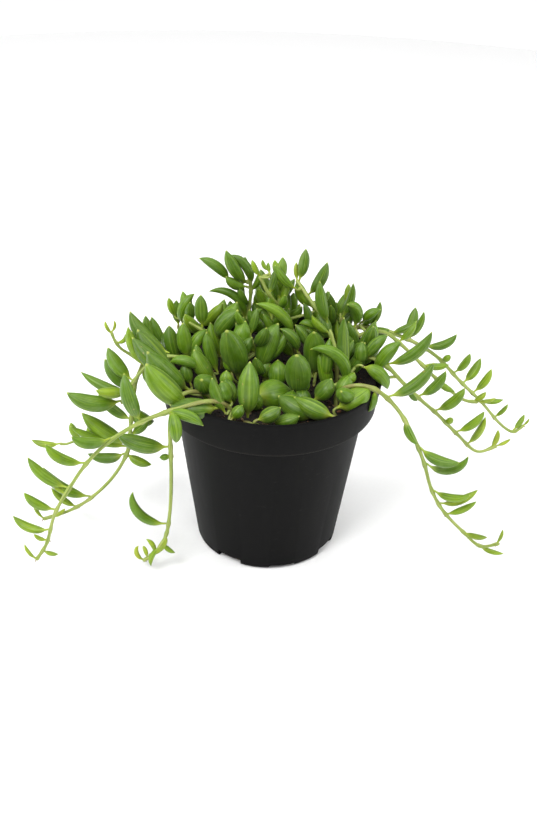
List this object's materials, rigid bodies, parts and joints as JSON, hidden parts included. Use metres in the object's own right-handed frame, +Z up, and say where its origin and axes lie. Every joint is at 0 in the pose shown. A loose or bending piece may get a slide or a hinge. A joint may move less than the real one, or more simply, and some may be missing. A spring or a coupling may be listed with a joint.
{
  "type": "potted string of bananas",
  "caption": "Trailing succulent with plump banana-shaped leaves in a round black nursery pot, its stems spilling over the rim on both sides.",
  "frame": {"origin": "middle of the pot's flat underside, where it stands", "axes": "+Z up along the pot's axis, -Y the front, +X the side where the longest stem trails"},
  "size_m": [0.2611, 0.112, 0.15],
  "materials": {
    "black_plastic": "satin moulded black plastic with a fine mould texture",
    "potting_soil": "loose dark potting mix of bark, peat and a few pale grains",
    "stem_skin": "smooth yellow-green living stem",
    "leaf_skin": "smooth waxy succulent leaf, green with a paler stripe and tip"
  },
  "bodies": {
    "root": {"pot": "black_plastic", "soil": "potting_soil", "stem_left_front": "stem_skin", "stem_left_middle": "stem_skin", "stem_left_hanging": "stem_skin", "stem_left_upper": "stem_skin", "stem_right_front": "stem_skin", "stem_right_middle": "stem_skin", "stem_right_rear": "stem_skin", "stem_right_upper": "stem_skin", "shoot_back_left": "stem_skin", "shoot_middle": "stem_skin", "shoot_left": "stem_skin", "shoot_right": "stem_skin", "shoot_right_low": "stem_skin", "shoot_left_low": "stem_skin", "creeper_front": "stem_skin", "creeper_middle": "stem_skin", "leaf_left_front_1": "leaf_skin", "leaf_left_front_2": "leaf_skin", "leaf_left_front_3": "leaf_skin", "leaf_left_front_4": "leaf_skin", "leaf_left_front_5": "leaf_skin", "leaf_left_front_6": "leaf_skin", "leaf_left_middle_1": "leaf_skin", "leaf_left_middle_2": "leaf_skin", "leaf_left_hanging_1": "leaf_skin", "leaf_left_hanging_2": "leaf_skin", "leaf_left_upper_1": "leaf_skin", "leaf_left_upper_2": "leaf_skin", "leaf_left_upper_3": "leaf_skin", "leaf_right_front_1": "leaf_skin", "leaf_right_front_2": "leaf_skin", "leaf_right_front_3": "leaf_skin", "leaf_right_front_4": "leaf_skin", "leaf_right_front_5": "leaf_skin", "leaf_right_middle_1": "leaf_skin", "leaf_right_middle_2": "leaf_skin", "leaf_right_middle_3": "leaf_skin", "leaf_right_middle_4": "leaf_skin", "leaf_right_rear_1": "leaf_skin", "leaf_right_rear_2": "leaf_skin", "leaf_right_rear_3": "leaf_skin", "leaf_right_rear_4": "leaf_skin", "leaf_right_rear_5": "leaf_skin", "leaf_right_rear_6": "leaf_skin", "leaf_crown_left_1": "leaf_skin", "leaf_crown_left_2": "leaf_skin", "leaf_crown_left_3": "leaf_skin", "leaf_crown_left_4": "leaf_skin", "leaf_crown_front_1": "leaf_skin", "leaf_crown_front_2": "leaf_skin", "leaf_crown_middle_1": "leaf_skin", "leaf_crown_middle_2": "leaf_skin", "leaf_crown_middle_3": "leaf_skin", "leaf_crown_right_1": "leaf_skin", "leaf_crown_right_2": "leaf_skin", "leaf_crown_right_3": "leaf_skin", "leaf_crown_right_4": "leaf_skin", "leaf_crown_back_left_1": "leaf_skin"}
  },
  "joints": []
}
